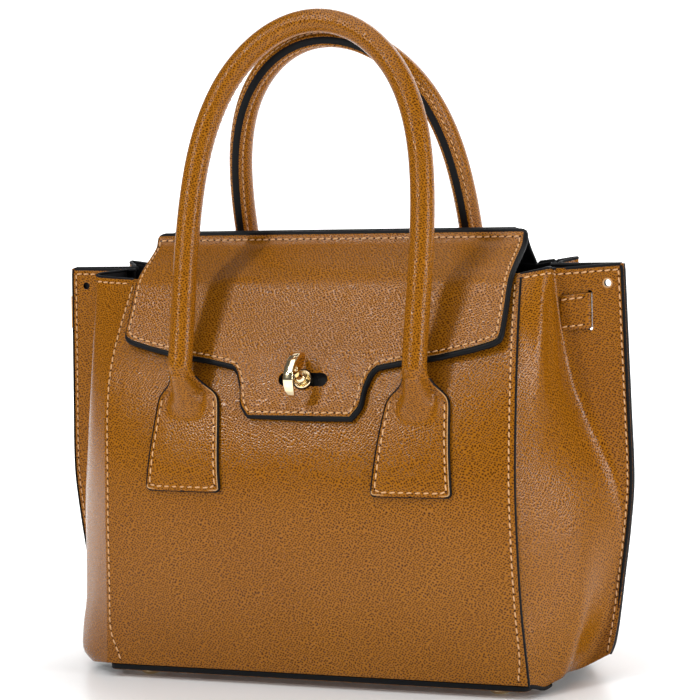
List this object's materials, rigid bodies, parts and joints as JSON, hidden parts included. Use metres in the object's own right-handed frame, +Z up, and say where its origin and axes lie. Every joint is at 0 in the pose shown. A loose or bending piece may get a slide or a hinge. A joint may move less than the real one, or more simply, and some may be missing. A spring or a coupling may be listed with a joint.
{
  "type": "leather handbag",
  "caption": "Structured leather satchel handbag with winged gussets, a front flap closed by a turn lock, and rolled top handles on stitched tabs.",
  "frame": {"origin": "on the floor under the middle of the base, at the soles of the feet", "axes": "+Z up, +X to the right as the front is seen, the front with the flap and lock faces -Y"},
  "size_m": [0.3932, 0.1695, 0.4305],
  "materials": {
    "cognac_leather": "semi-gloss pebbled leather",
    "black_lining": "matt black lining leather and painted raw edge",
    "fibre_board": "dense matt fibre board",
    "pale_gold": "polished pale gold plating"
  },
  "bodies": {
    "root": {"front_panel": "cognac_leather", "front_lining": "black_lining", "back_panel": "cognac_leather", "back_lining": "black_lining", "base_panel": "cognac_leather", "base_board": "fibre_board", "left_gusset_front": "cognac_leather", "left_gusset_rear": "cognac_leather", "right_gusset_front": "cognac_leather", "right_gusset_rear": "cognac_leather", "left_side_strap": "cognac_leather", "right_side_strap": "cognac_leather", "front_left_tab": "cognac_leather", "front_right_tab": "cognac_leather", "back_left_tab": "cognac_leather", "back_right_tab": "cognac_leather", "lock_boss": "pale_gold", "lock_back_plate": "pale_gold", "foot_front_left": "pale_gold", "foot_front_right": "pale_gold", "foot_rear_left": "pale_gold", "foot_rear_right": "pale_gold", "washer_front_left": "pale_gold", "washer_front_right": "pale_gold", "washer_rear_left": "pale_gold", "washer_rear_right": "pale_gold"},
    "flap": {"flap_leather": "cognac_leather", "flap_lining": "black_lining"},
    "front_handle": {"front_handle_roll": "cognac_leather", "front_handle_seam": "black_lining"},
    "back_handle": {"back_handle_roll": "cognac_leather", "back_handle_seam": "black_lining"},
    "lock_knob": {"lock_knob": "pale_gold"}
  },
  "joints": [
    {"name": "flap_lift", "type": "hinge", "parent": "root", "child": "flap", "pos_m": [0, 0.012, 0.286], "axis": [-1, 0, 0], "range_deg": [0, 107]},
    {"name": "front_handle_tilt", "type": "hinge", "parent": "root", "child": "front_handle", "pos_m": [0, -0.07754, 0.18217], "axis": [1, 0, 0], "range_deg": [0, 146]},
    {"name": "back_handle_tilt", "type": "hinge", "parent": "root", "child": "back_handle", "pos_m": [0, 0.07754, 0.18217], "axis": [-1, 0, 0], "range_deg": [0, 146]},
    {"name": "knob_turn", "type": "hinge", "parent": "root", "child": "lock_knob", "pos_m": [0, -0.05499, 0.19605], "axis": [0, -0.9185, 0.3954], "range_deg": [0, 90]}
  ],
  "couplings": [
    {"joint": "front_handle_tilt", "follows": "flap_lift", "ratio": 1.364}
  ]
}
